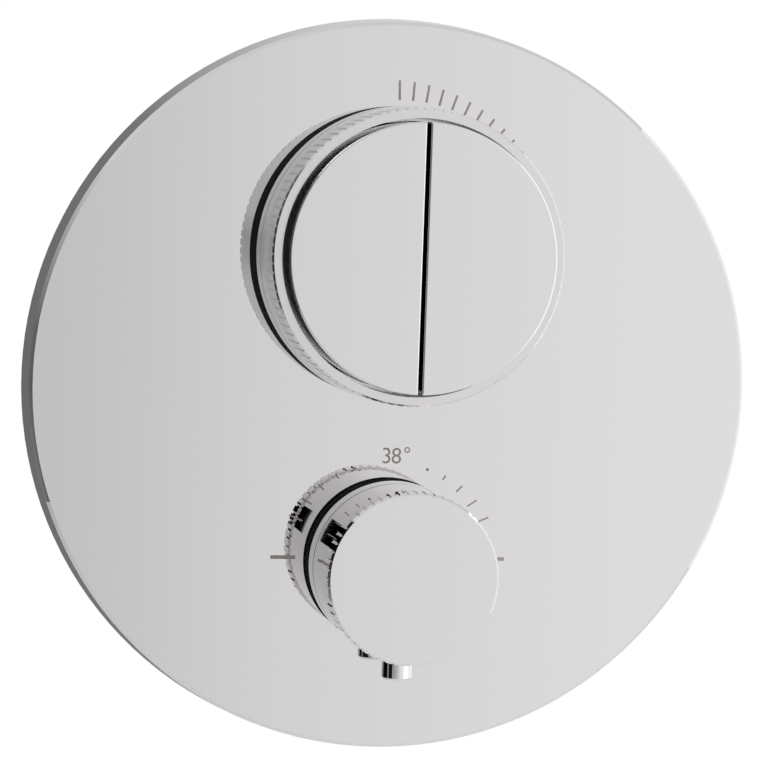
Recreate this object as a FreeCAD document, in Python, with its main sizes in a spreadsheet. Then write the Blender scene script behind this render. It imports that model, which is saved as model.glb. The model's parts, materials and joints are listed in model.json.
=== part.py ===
import FreeCAD, Part
import math
import os
import Sketcher

# A concealed thermostatic shower valve: a round face plate on the finished wall, a ring with two
# half-moon push buttons above, a temperature knob with a pin lever below, and the brass valve
# inside the wall. Millimetres. The origin is the centre of the plate on the finished wall plane,
# +X to the right, +Z up, and the front of the valve looks along -Y.
#
# A height named "..._out" is measured outwards from the finished wall; what lies in the wall is
# negative. Each turned piece is drawn about its own axis and then stood on the wall by FRONT.

doc = FreeCAD.newDocument("thermostatic_shower_valve")
sheet = doc.addObject("Spreadsheet::Sheet", "sizes")
FRONT = FreeCAD.Rotation(FreeCAD.Vector(1, 0, 0), 90)
SIDE = FreeCAD.Rotation(FreeCAD.Vector(0, 1, 0), 90)
UP = FreeCAD.Rotation()

# ---------------------------------------------------------------- driving sizes and fits
SIZES = [
    # places
    ("wall_out", "0"),
    ("ring_rise", "36.4"),
    ("knob_drop", "47.6"),
    ("knob_level", "=-knob_drop"),
    # fits
    ("running_fit", "0.08"),
    ("slip_fit", "0.3"),
    ("seat_gap", "0.3"),
    # face plate
    ("plate_radius", "100"),
    ("plate_depth", "12"),
    ("plate_wall", "2.4"),
    ("rim_wall", "2.6"),
    ("rim_taper", "1.1"),
    ("plate_bevel", "0.95"),
    ("plate_edge_radius", "=plate_radius - rim_taper"),
    ("plate_face_radius", "=plate_edge_radius - plate_bevel"),
    ("plate_bevel_out", "=plate_depth - plate_bevel"),
    ("plate_back_out", "=plate_depth - plate_wall"),
    ("rim_inner_radius", "=plate_radius - rim_wall"),
    ("plate_inner_radius", "=plate_edge_radius - rim_wall"),
    ("stud_inset", "17"),
    ("stud_circle", "=plate_radius - stud_inset"),
    ("stud_radius", "2.5"),
    ("stud_count", "4"),
    ("stud_end_out", "1"),
    ("gasket_width", "4.5"),
    ("gasket_depth", "3"),
    ("gasket_inner_radius", "=gasket_outer_radius - gasket_width"),
    ("gasket_outer_radius", "=rim_inner_radius - rim_taper"),
    # carrier sheet behind the plate
    ("carrier_clearance", "2.3"),
    ("carrier_radius", "=gasket_inner_radius - carrier_clearance"),
    ("carrier_sheet", "2"),
    ("wall_screw_span", "114"),
    ("wall_screw_radius", "2.25"),
    ("grommet_radius", "4.5"),
    ("grommet_height", "5"),
    ("carrier_upper_radius", "=base_radius + slip_fit"),
    ("carrier_lower_radius", "=knob_tower_radius + slip_fit"),
    # ring and its sleeve
    ("seal_thickness", "6"),
    ("sleeve_length", "5.7"),
    ("joint_gap", "0.3"),
    ("ring_height", "28.5"),
    ("ring_bore_radius", "36.6"),
    ("ring_face_radius", "38.7"),
    ("ring_edge_length", "0.6"),
    ("ring_barrel_radius", "39.8"),
    ("ring_knurl_radius", "39.2"),
    ("ring_knurl_length", "9.2"),
    ("ring_knurl_depth", "0.45"),
    ("ring_knurl_count", "100"),
    ("ring_skirt_radius", "37.3"),
    ("ring_skirt_bore", "35.9"),
    ("ring_flange_bore", "30"),
    ("ring_flange_thickness", "2"),
    ("sleeve_radius", "39.9"),
    ("sleeve_tube_radius", "38.5"),
    ("ring_seal_radius", "39.7"),
    ("sleeve_bore_radius", "=ring_skirt_radius + running_fit"),
    ("plate_upper_radius", "=sleeve_tube_radius + slip_fit"),
    ("sleeve_rear_out", "=plate_depth + seal_thickness"),
    ("sleeve_front_out", "=sleeve_rear_out + sleeve_length"),
    ("ring_rear_out", "=sleeve_front_out + joint_gap"),
    ("ring_front_out", "=plate_depth + ring_height"),
    ("ring_edge_out", "=ring_front_out - ring_edge_length"),
    ("ring_knurl_out", "=ring_edge_out - ring_knurl_length"),
    ("ring_bore_out", "=ring_rear_out + joint_gap"),
    # mechanism base, internal gear and pinions
    ("tower_front_out", "3"),
    ("base_thickness", "3"),
    ("base_radius", "=sleeve_tube_radius"),
    ("base_front_out", "=tower_front_out + base_thickness"),
    ("gear_module", "1"),
    ("gear_teeth", "52"),
    ("pinion_teeth", "20"),
    ("gear_width", "5"),
    ("gear_clearance", "1"),
    ("gear_outer_radius", "34"),
    ("gear_tip_radius", "=gear_module * (gear_teeth / 2 - 0.8)"),
    ("gear_root_radius", "=gear_module * (gear_teeth / 2 + 1.1)"),
    ("pinion_tip_radius", "=gear_module * (pinion_teeth / 2 + 0.8)"),
    ("pinion_root_radius", "=gear_module * (pinion_teeth / 2 - 1.1)"),
    ("pinion_offset", "=gear_module * (gear_teeth - pinion_teeth) / 2"),
    ("gear_rear_out", "=base_front_out + gear_clearance"),
    ("gear_front_out", "=gear_rear_out + gear_width"),
    ("ring_flange_out", "=gear_front_out + ring_flange_thickness"),
    ("pinion_rear_out", "=gear_rear_out + seat_gap"),
    ("pinion_front_out", "=gear_front_out - seat_gap"),
    ("stem_radius", "5.5"),
    ("stem_bore_radius", "=stem_radius + running_fit"),
    ("rod_radius", "3"),
    ("rod_bore_radius", "=rod_radius + slip_fit"),
    # push buttons, guide and springs
    ("button_height_above_plate", "34.7"),
    ("button_radius", "35.6"),
    ("button_depth", "18"),
    ("button_wall", "2"),
    ("button_face", "2.5"),
    ("button_split", "1"),
    ("button_edge", "0.5"),
    ("button_hub_radius", "5"),
    ("button_hub_length", "6"),
    ("button_front_out", "=plate_depth + button_height_above_plate"),
    ("button_rear_out", "=button_front_out - button_depth"),
    ("button_inside_out", "=button_front_out - button_face"),
    ("button_hub_out", "=button_inside_out - button_hub_length"),
    ("button_half_split", "=button_split / 2"),
    ("guide_radius", "35.5"),
    ("guide_thickness", "2.5"),
    ("guide_rear_out", "=ring_flange_out + 2 * seat_gap"),
    ("guide_front_out", "=guide_rear_out + guide_thickness"),
    ("guide_boss_radius", "5.5"),
    ("guide_boss_height", "3"),
    ("guide_post_radius", "4"),
    ("guide_post_offset", "16"),
    ("guide_screw_radius", "1.5"),
    ("spring_radius", "7.5"),
    ("spring_wire_radius", "0.6"),
    ("spring_turns", "4"),
    # push cartridges
    ("pool_radius", "33"),
    ("pool_depth", "11"),
    ("pool_floor_out", "=tower_front_out - pool_depth"),
    ("cartridge_radius", "11.4"),
    ("cartridge_wall", "1.8"),
    ("cartridge_head", "4"),
    ("cartridge_length", "33"),
    ("cartridge_floor", "2"),
    ("seat_hole_radius", "5"),
    ("disc_radius", "9.4"),
    ("disc_thickness", "2.5"),
    ("cartridge_bore_radius", "=cartridge_radius - cartridge_wall"),
    ("cartridge_rear_out", "=tower_front_out - cartridge_length"),
    ("cartridge_seat_out", "=cartridge_rear_out + cartridge_floor"),
    ("cartridge_head_out", "=tower_front_out - cartridge_head"),
    ("disc_front_out", "=cartridge_head_out - 4 * seat_gap - disc_thickness"),
    ("disc_joint_out", "=disc_front_out - disc_thickness"),
    ("seat_disc_rear_out", "=disc_joint_out - disc_thickness"),
    ("stopper_radius", "6.6"),
    ("stopper_thickness", "3"),
    ("stopper_rear_out", "=cartridge_rear_out - stopper_thickness"),
    # temperature knob and sleeve
    ("knob_seal_thickness", "4.5"),
    ("knob_sleeve_length", "5.5"),
    ("knob_height", "35.5"),
    ("knob_face_radius", "22.3"),
    ("knob_edge_length", "0.6"),
    ("knob_barrel_radius", "22.5"),
    ("knob_knurl_radius", "22.95"),
    ("knob_knurl_length", "6.2"),
    ("knob_knurl_depth", "0.5"),
    ("knob_knurl_count", "60"),
    ("knob_bore_radius", "17"),
    ("knob_face_thickness", "3"),
    ("knob_sleeve_radius", "22.7"),
    ("knob_sleeve_bore", "18.8"),
    ("knob_tube_radius", "20.7"),
    ("knob_seal_radius", "22.3"),
    ("knob_skirt_radius", "=knob_sleeve_bore - running_fit"),
    ("plate_lower_radius", "=knob_tube_radius + slip_fit"),
    ("knob_sleeve_rear_out", "=plate_depth + knob_seal_thickness"),
    ("knob_sleeve_front_out", "=knob_sleeve_rear_out + knob_sleeve_length"),
    ("knob_rear_out", "=knob_sleeve_front_out + joint_gap"),
    ("knob_front_out", "=plate_depth + knob_height"),
    ("knob_edge_out", "=knob_front_out - knob_edge_length"),
    ("knob_knurl_out", "=knob_edge_out - knob_knurl_length"),
    ("knob_inside_out", "=knob_front_out - knob_face_thickness"),
    ("knob_skirt_out", "=knob_sleeve_rear_out"),
    ("lever_radius", "4.1"),
    ("lever_reach", "29.3"),
    ("lever_height", "17"),
    ("lever_chamfer", "0.6"),
    ("lever_stem_radius", "2.5"),
    ("lever_out", "=plate_depth + lever_height"),
    ("lever_root", "12"),
    # knob adapter, stop ring, cartridge nut
    ("knob_tower_radius", "23"),
    ("knob_tower_out", "6"),
    ("nut_bore_radius", "10"),
    ("nut_radius", "20.5"),
    ("nut_rear_out", "0"),
    ("nut_front_out", "=knob_tower_out"),
    ("stop_radius", "16"),
    ("stop_thickness", "4"),
    ("stop_bore_radius", "=neck_radius"),
    ("stop_rear_out", "=nut_front_out"),
    ("stop_front_out", "=stop_rear_out + stop_thickness"),
    ("stop_lug_height", "3"),
    ("stop_lug_bore", "12"),
    ("stop_lug_radius", "15.5"),
    ("knob_turn_limit", "90"),
    ("moving_lug_half_angle", "10"),
    ("adapter_radius", "=knob_bore_radius"),
    ("adapter_rear_out", "=stop_front_out + stop_lug_height + seat_gap"),
    ("adapter_front_out", "=knob_inside_out"),
    ("adapter_bore_depth", "16"),
    ("adapter_bore_out", "=adapter_rear_out + adapter_bore_depth"),
    # thermostatic cartridge
    ("neck_radius", "9"),
    ("housing_radius", "17.3"),
    ("housing_flange_radius", "20"),
    ("housing_flange", "2"),
    ("housing_bore_radius", "12.5"),
    ("housing_rear_out", "-60"),
    ("housing_floor", "2"),
    ("housing_top_out", "-4"),
    ("neck_front_out", "=stop_front_out"),
    ("housing_floor_out", "=housing_rear_out + housing_floor"),
    ("housing_flange_out", "=nut_rear_out - housing_flange"),
    ("spindle_radius", "5"),
    ("spindle_bore_radius", "=spindle_radius + running_fit"),
    ("spindle_collar_radius", "9"),
    ("spindle_collar", "3"),
    ("spindle_thread_radius", "4"),
    ("spindle_front_out", "=adapter_bore_out - seat_gap"),
    ("spindle_collar_out", "=housing_top_out - seat_gap"),
    ("spindle_thread_out", "=spindle_collar_out - spindle_collar"),
    ("spindle_end_out", "-19.5"),
    ("overload_nut_radius", "=housing_bore_radius - running_fit"),
    ("overload_nut_front_out", "-11"),
    ("overload_nut_rear_out", "-23"),
    ("overload_nut_floor", "2"),
    ("overload_nut_floor_out", "=overload_nut_rear_out + overload_nut_floor"),
    ("thread_bore_radius", "=spindle_thread_radius + running_fit"),
    ("wax_radius", "4"),
    ("wax_collar_radius", "6"),
    ("wax_piston_radius", "1.8"),
    ("wax_front_out", "=overload_nut_rear_out"),
    ("wax_cup_out", "-29"),
    ("wax_collar_out", "-33"),
    ("wax_rear_out", "-52"),
    ("port_split", "5"),
    ("port_out", "-40"),
    ("window_radius", "2.7"),
    ("hot_out", "=port_out + port_split"),
    ("cold_out", "=port_out - port_split"),
    ("shuttle_length", "9"),
    ("shuttle_radius", "=housing_bore_radius - running_fit"),
    ("shuttle_bore_radius", "=wax_radius"),
    ("shuttle_front_out", "=port_out + shuttle_length / 2"),
    ("shuttle_rear_out", "=port_out - shuttle_length / 2"),
    ("return_spring_radius", "8"),
    ("return_spring_wire", "0.7"),
    ("return_spring_turns", "3"),
    ("oring_radius", "1.1"),
    # brass body in the wall
    ("tower_radius", "37"),
    ("tower_floor", "5"),
    ("base_screw_hole_depth", "8"),
    ("barrel_radius", "15"),
    ("barrel_rear_out", "-52"),
    ("pipe_radius", "14"),
    ("port_span", "62"),
    ("port_length", "12"),
    ("port_hex_radius", "17"),
    ("thread_radius", "9.3"),
    ("thread_length", "15"),
    ("outlet_bore_radius", "7"),
    ("inlet_bore_radius", "8"),
    ("inlet_bore_length", "15"),
    ("chamber_radius", "=housing_radius + running_fit"),
    ("body_rear_out", "-72"),
    ("chamber_rear_out", "=housing_rear_out"),
    ("gallery_radius", "6"),
    ("gallery_boss_radius", "9.5"),
    ("gallery_drop", "19"),
    ("gallery_level", "=ring_rise - gallery_drop"),
    ("sump_radius", "10"),
    ("sump_depth", "7"),
    ("gallery_floor_out", "=chamber_rear_out - sump_depth"),
    ("passage_radius", "4.5"),
    ("passage_out", "=gallery_floor_out + passage_radius + 0.5"),
    ("spine_half_width", "13"),
    ("spine_front_out", "-50"),
    ("plug_length", "6"),
    # bracket
    ("bracket_sheet", "2.5"),
    ("bracket_width", "120"),
    ("bracket_height", "136"),
    ("bracket_level", "=(ring_rise - knob_drop) / 2"),
    ("bracket_hole_span_across", "100"),
    ("bracket_hole_span_up", "116"),
    ("bracket_hole_radius", "3.25"),
    ("bracket_front_out", "=body_rear_out"),
    ("bracket_rear_out", "=bracket_front_out - bracket_sheet"),
    ("body_screw_span_up", "60"),
    ("body_screw_span_across", "19"),
    ("body_screw_radius", "2.5"),
    ("body_screw_length", "7"),
    ("body_screw_head_radius", "4.25"),
    ("body_screw_head", "3"),
    # carrier standoffs and screws
    ("standoff_radius", "4"),
    ("standoff_spacing", "18"),
    ("standoff_level", "-14.6"),
    ("carrier_screw_radius", "2"),
    ("carrier_screw_length", "14"),
    ("carrier_screw_head_radius", "3.6"),
    ("carrier_screw_head", "2.4"),
    # worked out from the others
    ("gasket_seat_out", "=wall_out + gasket_depth"),
    ("grommet_hole_radius", "=grommet_radius - 1"),
    ("screw_half_span", "=wall_screw_span / 2"),
    ("standoff_half", "=standoff_spacing / 2"),
    ("carrier_screw_hole", "=carrier_screw_radius + running_fit"),
    ("below_wall_out", "=wall_out - 1"),
    ("gear_screw_circle", "=(ring_flange_bore + gear_outer_radius) / 2"),
    ("gear_screw_radius", "=0.75"),
    ("gear_screw_count", "4"),
    ("gear_mouth", "=gear_tip_radius - gear_module"),
    ("gear_floor_half", "=0.55 * gear_module"),
    ("gear_mouth_half", "=1.5 * gear_module"),
    ("shuttle_port_offset", "=(shuttle_bore_radius + shuttle_radius) / 2"),
    ("shuttle_port_radius", "=(shuttle_radius - shuttle_bore_radius) / 4"),
    ("shuttle_port_count", "6"),
    ("ring_groove_root", "=ring_knurl_radius - ring_knurl_depth"),
    ("ring_groove_mouth", "=ring_knurl_radius + ring_knurl_depth"),
    ("ring_groove_half", "=0.62 * pi * ring_knurl_radius / ring_knurl_count"),
    ("knob_groove_root", "=knob_knurl_radius - knob_knurl_depth"),
    ("knob_groove_mouth", "=knob_knurl_radius + knob_knurl_depth"),
    ("knob_groove_half", "=0.62 * pi * knob_knurl_radius / knob_knurl_count"),
    ("pinion_mouth", "=pinion_tip_radius + gear_module"),
    ("pinion_floor_half", "=0.5 * gear_module"),
    ("pinion_mouth_half", "=1.6 * gear_module"),
    ("disc_port_radius", "=(disc_radius - rod_bore_radius) / 2 - 1"),
    ("seat_ledge_radius", "=cartridge_bore_radius - 1.5"),
    ("window_half", "=4"),
    ("window_rear_out", "=pool_floor_out + 1"),
    ("window_front_out", "=cartridge_head_out - 0.5"),
    ("button_inner_radius", "=button_radius - button_wall"),
    ("button_inner_split", "=button_half_split + button_wall"),
    ("rod_guide_radius", "=rod_radius + running_fit"),
    ("base_screw_offset", "=0.5 * sqrt(2) * (pool_radius + tower_radius) / 2"),
    ("base_screw_count", "4"),
    ("lever_shoulder", "=sqrt(knob_barrel_radius ^ 2 - lever_radius ^ 2)"),
    ("lever_chamfer_start", "=lever_reach - lever_chamfer"),
    ("lever_end_radius", "=lever_radius - lever_chamfer"),
    ("housing_outlet_radius", "=8"),
    ("groove_front_out", "=port_out + 2 * port_split + 1"),
    ("groove_rear_out", "=port_out - 2 * port_split - 1"),
    ("groove_floor_radius", "=chamber_radius - 2 * oring_radius"),
    ("groove_mouth_radius", "=housing_radius + 1"),
    ("disc_port_offset", "=(rod_bore_radius + disc_radius) / 2"),
    ("groove_front_low", "=groove_front_out - oring_radius"),
    ("groove_front_high", "=groove_front_out + oring_radius"),
    ("groove_middle_low", "=port_out - oring_radius"),
    ("groove_middle_high", "=port_out + oring_radius"),
    ("groove_rear_low", "=groove_rear_out - oring_radius"),
    ("groove_rear_high", "=groove_rear_out + oring_radius"),
]


def fill_sheet():
    """Name every cell first, so that a formula may use a size from further down."""
    for row, (name, value) in enumerate(SIZES, start=1):
        sheet.set(f"A{row}", name)
        sheet.setAlias(f"B{row}", name)
    for row, (name, value) in enumerate(SIZES, start=1):
        sheet.set(f"B{row}", value)
    doc.recompute()


def val(name):
    return float(sheet.get(name))


# ---------------------------------------------------------------- drawing helpers
def plane(body, role):
    return next(item for item in body.Origin.OriginFeatures if item.Role == role)


def sketch_on(body, role, name):
    sketch = body.newObject("Sketcher::SketchObject", name)
    sketch.AttachmentSupport = [(plane(body, role), "")]
    sketch.MapMode = "FlatFace"
    return sketch


def pin_point(sketch, line, across, along):
    """Tie the start of a line to two sizes; an empty name keeps the point on that axis."""
    start = sketch.Geometry[line].StartPoint
    for kind, size, value, axis in (("DistanceX", across, start.x, -2), ("DistanceY", along, start.y, -1)):
        if size:
            index = sketch.addConstraint(Sketcher.Constraint(kind, -1, 1, line, 1, value))
            sketch.setExpression(f"Constraints[{index}]", size_formula(size))
        else:
            sketch.addConstraint(Sketcher.Constraint("PointOnObject", line, 1, axis))


def size_formula(size):
    """A size may be written with a minus sign in front, for a point on the other side of an axis."""
    return f"-sizes.{size[1:]}" if size.startswith("-") else f"sizes.{size}"


def size_value(size):
    if not size:
        return 0.0
    return -val(size[1:]) if size.startswith("-") else val(size)


def closed_outline(sketch, points):
    """Draw a closed outline whose corners are (across, along) pairs of size names."""
    places = [FreeCAD.Vector(size_value(a), size_value(b), 0) for a, b in points]
    count = len(places)
    first = sketch.GeometryCount
    for i in range(count):
        sketch.addGeometry(Part.LineSegment(places[i], places[(i + 1) % count]), False)
    for i in range(count):
        sketch.addConstraint(Sketcher.Constraint("Coincident", first + i, 2, first + (i + 1) % count, 1))
    for i, (across, along) in enumerate(points):
        pin_point(sketch, first + i, across, along)


def circle_at(sketch, across, along, radius):
    centre = FreeCAD.Vector(size_value(across), size_value(along), 0)
    ring = sketch.addGeometry(Part.Circle(centre, FreeCAD.Vector(0, 0, 1), val(radius)), False)
    index = sketch.addConstraint(Sketcher.Constraint("Radius", ring, val(radius)))
    sketch.setExpression(f"Constraints[{index}]", f"sizes.{radius}")
    for kind, size, value, axis in (("DistanceX", across, centre.x, -2), ("DistanceY", along, centre.y, -1)):
        if size:
            index = sketch.addConstraint(Sketcher.Constraint(kind, -1, 1, ring, 3, value))
            sketch.setExpression(f"Constraints[{index}]", size_formula(size))
        else:
            sketch.addConstraint(Sketcher.Constraint("PointOnObject", ring, 3, axis))


def set_place(item, x="", z="", turn=FRONT):
    """Stand a piece on the wall, its own axis at a named distance across and up."""
    item.Placement = FreeCAD.Placement(FreeCAD.Vector(0, 0, 0), turn)
    if x:
        item.setExpression(".Placement.Base.x", size_formula(x))
    if z:
        item.setExpression(".Placement.Base.z", size_formula(z))


def new_body(name):
    body = doc.addObject("PartDesign::Body", name)
    body.Label = name
    return body


def turned(name, points, x="", z=""):
    """A piece turned about its own axis; points are (radius, height out from the wall)."""
    body = new_body(name)
    sketch = sketch_on(body, "XZ_Plane", "profile_" + name)
    closed_outline(sketch, points)
    lathe = body.newObject("PartDesign::Revolution", "turning_" + name)
    lathe.Profile = sketch
    lathe.ReferenceAxis = (sketch, ["V_Axis"])
    lathe.Angle = 360
    set_place(body, x, z)
    return body


def flat_sketch(body, name, height):
    """A sketch square to the piece's axis, at a named height out from the wall."""
    sketch = sketch_on(body, "XY_Plane", name)
    if height:
        sketch.setExpression("AttachmentOffset.Base.z", f"sizes.{height}")
    return sketch


def extruded(body, sketch, length, kind="PartDesign::Pad"):
    """Pad or pocket outwards from the sketch by a formula of sizes."""
    feature = body.newObject(kind, kind.split("::")[1].lower() + "_" + sketch.Name)
    feature.Profile = sketch
    feature.Reversed = kind == "PartDesign::Pocket"
    feature.setExpression("Length", length)
    return feature


def around(body, feature, sketch, count):
    pattern = body.newObject("PartDesign::PolarPattern", "pattern_" + feature.Name)
    pattern.Originals = [feature]
    pattern.Axis = (sketch, ["N_Axis"])
    pattern.Angle = 360
    pattern.setExpression("Occurrences", f"sizes.{count}")
    body.Tip = pattern
    return pattern


def drill(body, name, height, length, holes, count=""):
    """Cut round holes (across, along, radius) outwards from a named height."""
    sketch = flat_sketch(body, name, height)
    for across, along, radius in holes:
        circle_at(sketch, across, along, radius)
    cut = extruded(body, sketch, length, "PartDesign::Pocket")
    if count:
        around(body, cut, sketch, count)
    return cut


def knurled(body, prefix, rear, radius):
    """Cut the knurl: one V groove round the band, repeated."""
    sketch = flat_sketch(body, prefix + "_groove", rear)
    mouth = (prefix + "_groove_mouth", prefix + "_groove_half")
    other = (prefix + "_groove_mouth", "-" + prefix + "_groove_half")
    closed_outline(sketch, [(prefix + "_groove_root", ""), mouth, other])
    length = f"sizes.{prefix}_front_out - sizes.{rear} + 1"
    around(body, extruded(body, sketch, length, "PartDesign::Pocket"), sketch, prefix + "_knurl_count")


def rod_shape(radius, start, end, centre_x=0.0, centre_z=0.0):
    """A plain cylinder standing out from the wall, for pieces that are grouped."""
    rod = Part.makeCylinder(radius, end - start)
    rod.Placement = FreeCAD.Placement(FreeCAD.Vector(centre_x, -start, centre_z), FRONT)
    return rod


def group(name, shapes):
    """Identical loose pieces that share one node, as separate solids."""
    item = doc.addObject("Part::Feature", name)
    item.Label = name
    item.Shape = Part.makeCompound(shapes)
    return item


def headed_screw(shank, length, head, head_height, tip_out, x, z, inward=False):
    """A cap screw; its head is outwards of tip_out + length, or inwards of tip_out - length."""
    if inward:
        body = rod_shape(shank, tip_out - length, tip_out, x, z)
        cap = rod_shape(head, tip_out - length - head_height, tip_out - length, x, z)
    else:
        body = rod_shape(shank, tip_out, tip_out + length, x, z)
        cap = rod_shape(head, tip_out + length, tip_out + length + head_height, x, z)
    return body.fuse(cap).removeSplitter()


# ---------------------------------------------------------------- face plate and what carries it
def face_plate():
    body = turned("face_plate", [
        ("", "plate_back_out"), ("plate_inner_radius", "plate_back_out"), ("rim_inner_radius", ""),
        ("plate_radius", ""), ("plate_edge_radius", "plate_bevel_out"),
        ("plate_face_radius", "plate_depth"), ("", "plate_depth"),
    ])
    openings = [("", "ring_rise", "plate_upper_radius"), ("", "knob_level", "plate_lower_radius")]
    drill(body, "openings", "plate_back_out", "sizes.plate_wall + 1", openings)
    studs = flat_sketch(body, "studs", "stud_end_out")
    circle_at(studs, "stud_circle", "", "stud_radius")
    pad = extruded(body, studs, "sizes.plate_back_out - sizes.stud_end_out + 0.5 * sizes.plate_wall")
    around(body, pad, studs, "stud_count")


def plate_gasket():
    turned("plate_gasket", [
        ("gasket_inner_radius", ""), ("gasket_outer_radius", ""),
        ("gasket_outer_radius", "gasket_seat_out"), ("gasket_inner_radius", "gasket_seat_out"),
    ])


def plate_carrier():
    body = turned("plate_carrier", [
        ("", ""), ("carrier_radius", ""), ("carrier_radius", "carrier_sheet"), ("", "carrier_sheet"),
    ])
    through = "sizes.carrier_sheet + 2"
    drill(body, "tower_openings", "below_wall_out", through, [
        ("", "ring_rise", "carrier_upper_radius"), ("", "knob_level", "carrier_lower_radius"),
        ("standoff_half", "standoff_level", "carrier_screw_hole"),
        ("-standoff_half", "standoff_level", "carrier_screw_hole"),
        ("screw_half_span", "screw_half_span", "wall_screw_radius"),
        ("-screw_half_span", "screw_half_span", "wall_screw_radius"),
        ("screw_half_span", "-screw_half_span", "wall_screw_radius"),
        ("-screw_half_span", "-screw_half_span", "wall_screw_radius"),
    ])
    drill(body, "grommet_holes", "below_wall_out", through, [("stud_circle", "", "grommet_hole_radius")],
          "stud_count")


def plate_grommets():
    """Push-in sockets in the carrier that grip the plate's studs."""
    hole, lip, bore = val("grommet_hole_radius"), val("grommet_radius"), val("stud_radius")
    sheet_top, top = val("carrier_sheet"), val("carrier_sheet") + val("grommet_height")
    shapes = []
    for i in range(int(val("stud_count"))):
        angle = 2 * math.pi * i / val("stud_count")
        x, z = val("stud_circle") * math.cos(angle), val("stud_circle") * math.sin(angle)
        socket = rod_shape(hole, 0, sheet_top, x, z).fuse(rod_shape(lip, sheet_top, top, x, z))
        shapes.append(socket.removeSplitter().cut(rod_shape(bore, -1, top + 1, x, z)))
    group("plate_grommets", shapes)


def carrier_fixings():
    half, level = val("standoff_half"), val("standoff_level")
    posts, screws = [], []
    tip = val("carrier_sheet") - val("carrier_screw_length")
    for x in (-half, half):
        post = rod_shape(val("standoff_radius"), val("spine_front_out"), 0, x, level)
        posts.append(post.cut(rod_shape(val("carrier_screw_radius"), tip, 1, x, level)))
        screws.append(headed_screw(val("carrier_screw_radius"), val("carrier_screw_length"),
                                   val("carrier_screw_head_radius"), val("carrier_screw_head"), tip, x, level))
    group("carrier_standoffs", posts)
    group("carrier_screws", screws)


# ---------------------------------------------------------------- flow ring
def ring_seal():
    turned("ring_seal", [
        ("sleeve_tube_radius", "plate_depth"), ("ring_seal_radius", "plate_depth"),
        ("ring_seal_radius", "sleeve_rear_out"), ("sleeve_tube_radius", "sleeve_rear_out"),
    ], z="ring_rise")


def ring_sleeve():
    turned("ring_sleeve", [
        ("sleeve_bore_radius", "base_front_out"), ("sleeve_tube_radius", "base_front_out"),
        ("sleeve_tube_radius", "sleeve_rear_out"), ("sleeve_radius", "sleeve_rear_out"),
        ("sleeve_radius", "sleeve_front_out"), ("sleeve_bore_radius", "sleeve_front_out"),
    ], z="ring_rise")


def flow_ring():
    body = turned("flow_ring", [
        ("ring_flange_bore", "gear_front_out"), ("ring_skirt_radius", "gear_front_out"),
        ("ring_skirt_radius", "ring_rear_out"), ("ring_barrel_radius", "ring_rear_out"),
        ("ring_barrel_radius", "ring_knurl_out"), ("ring_knurl_radius", "ring_knurl_out"),
        ("ring_knurl_radius", "ring_edge_out"), ("ring_face_radius", "ring_front_out"),
        ("ring_bore_radius", "ring_front_out"), ("ring_bore_radius", "ring_bore_out"),
        ("ring_skirt_bore", "ring_bore_out"), ("ring_skirt_bore", "ring_flange_out"),
        ("ring_flange_bore", "ring_flange_out"),
    ], z="ring_rise")
    knurled(body, "ring", "ring_knurl_out", "ring_knurl_radius")
    drill(body, "ring_screw_holes", "gear_front_out", "sizes.ring_flange_thickness + 0.5",
          [("gear_screw_circle", "", "gear_screw_radius")], "gear_screw_count")


def tooth_gap(body, name, root, tip, floor_half, mouth_half, height, length, count, phase):
    """One trapezoid tooth space from root to beyond the tip, repeated round the axis."""
    sketch = flat_sketch(body, name, height)
    sketch.AttachmentOffset = FreeCAD.Placement(
        sketch.AttachmentOffset.Base, FreeCAD.Rotation(FreeCAD.Vector(0, 0, 1), phase))
    sketch.setExpression("AttachmentOffset.Base.z", f"sizes.{height}")
    closed_outline(sketch, [(root, "-" + floor_half), (root, floor_half), (tip, mouth_half), (tip, "-" + mouth_half)])
    around(body, extruded(body, sketch, length, "PartDesign::Pocket"), sketch, count)


def ring_gear():
    """Internal gear under the ring's flange: a tooth stands on the axis that a pinion lies on."""
    body = turned("ring_gear", [
        ("gear_tip_radius", "gear_rear_out"), ("gear_outer_radius", "gear_rear_out"),
        ("gear_outer_radius", "gear_front_out"), ("gear_tip_radius", "gear_front_out"),
    ], z="ring_rise")
    tooth_gap(body, "gear_space", "gear_root_radius", "gear_mouth", "gear_floor_half", "gear_mouth_half",
              "gear_rear_out", "sizes.gear_width + 0.5", "gear_teeth", 180.0 / val("gear_teeth"))
    drill(body, "gear_screw_holes", "gear_rear_out", "sizes.gear_width + 0.5",
          [("gear_screw_circle", "", "gear_screw_radius")], "gear_screw_count")


def ring_gear_screws():
    shapes = []
    radius, tip = val("gear_screw_radius"), val("gear_rear_out")
    for i in range(int(val("gear_screw_count"))):
        angle = 2 * math.pi * i / val("gear_screw_count")
        x = val("gear_screw_circle") * math.cos(angle)
        z = val("ring_rise") + val("gear_screw_circle") * math.sin(angle)
        shapes.append(rod_shape(radius, tip, val("ring_flange_out"), x, z))
    group("ring_gear_screws", shapes)


def flow_pinion(side, x):
    """Pinion on a hollow stem that turns the ceramic disc; the push rod runs through it."""
    name = "flow_pinion_" + side
    body = turned(name, [
        ("rod_bore_radius", "disc_front_out"), ("stem_radius", "disc_front_out"),
        ("stem_radius", "pinion_rear_out"), ("pinion_tip_radius", "pinion_rear_out"),
        ("pinion_tip_radius", "pinion_front_out"), ("rod_bore_radius", "pinion_front_out"),
    ], x=x, z="ring_rise")
    tooth_gap(body, name + "_space", "pinion_root_radius", "pinion_mouth", "pinion_floor_half",
              "pinion_mouth_half", "pinion_rear_out", "sizes.gear_width", "pinion_teeth", 0.0)


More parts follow.
